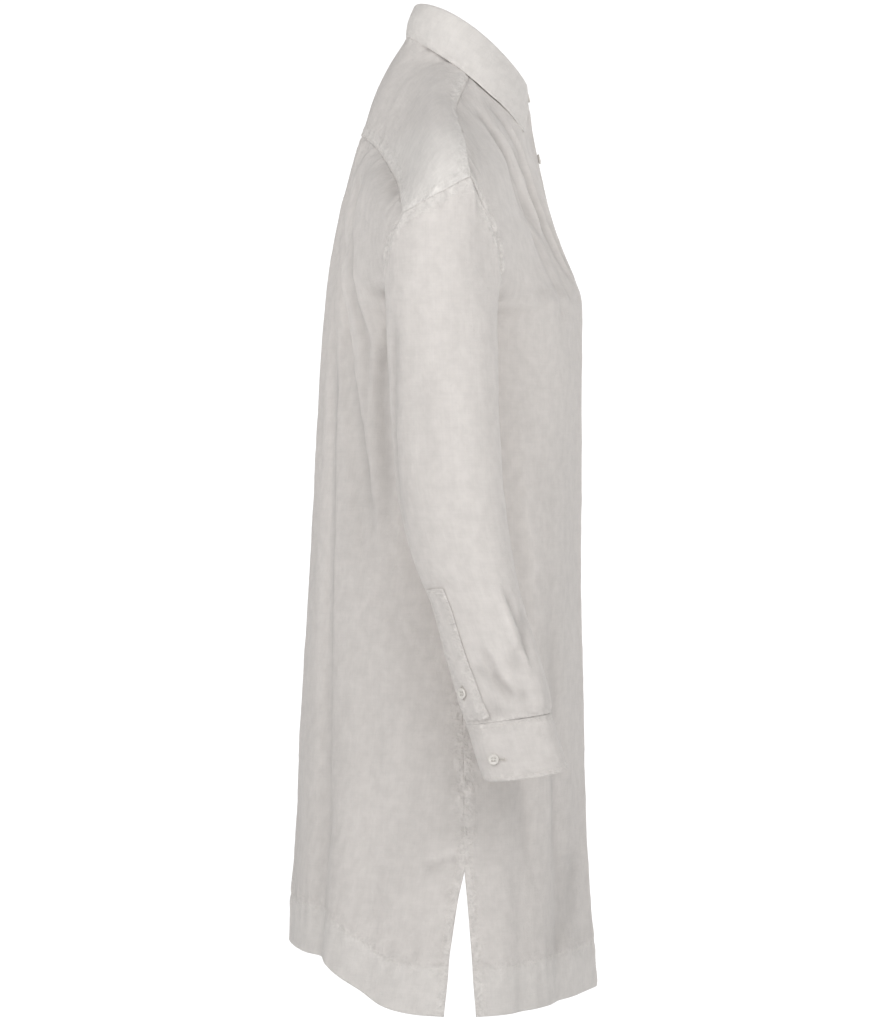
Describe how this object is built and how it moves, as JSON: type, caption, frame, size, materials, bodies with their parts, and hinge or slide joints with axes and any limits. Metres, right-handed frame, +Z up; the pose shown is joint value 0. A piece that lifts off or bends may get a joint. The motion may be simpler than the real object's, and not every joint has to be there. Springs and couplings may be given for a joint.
{
  "type": "dress shirt",
  "caption": "Women's long-sleeved linen shirt dress, buttoned up, with a point collar, back yoke and curved hem, filled out as if worn.",
  "frame": {"origin": "base of the wearer's neck, level with the shoulders, where the shirt hangs from its wearer", "axes": "+Z up, along the wearer; -Y the way the wearer faces; -X the wearer's right"},
  "size_m": [0.614, 0.322, 1.0225],
  "materials": {
    "linen": "plain-woven linen, one layer",
    "linen_double": "the same linen doubled over interlining",
    "button_shell": "satin, pale shell look"
  },
  "bodies": {
    "root": {"yoke": "linen", "back": "linen", "front_right": "linen", "front_left": "linen", "sleeve_right": "linen", "sleeve_left": "linen", "collar_stand": "linen_double", "collar_fall": "linen_double", "placket_right": "linen_double", "button_band_left": "linen_double", "cuff_right": "linen_double", "cuff_left": "linen_double", "sleeve_placket_right": "linen_double", "sleeve_placket_left": "linen_double", "collar_button": "button_shell", "front_button_1": "button_shell", "front_button_2": "button_shell", "front_button_3": "button_shell", "front_button_4": "button_shell", "front_button_5": "button_shell", "front_button_6": "button_shell", "front_button_7": "button_shell", "front_button_8": "button_shell", "cuff_button_right": "button_shell", "cuff_button_left": "button_shell", "sleeve_button_right": "button_shell", "sleeve_button_left": "button_shell"}
  },
  "joints": []
}
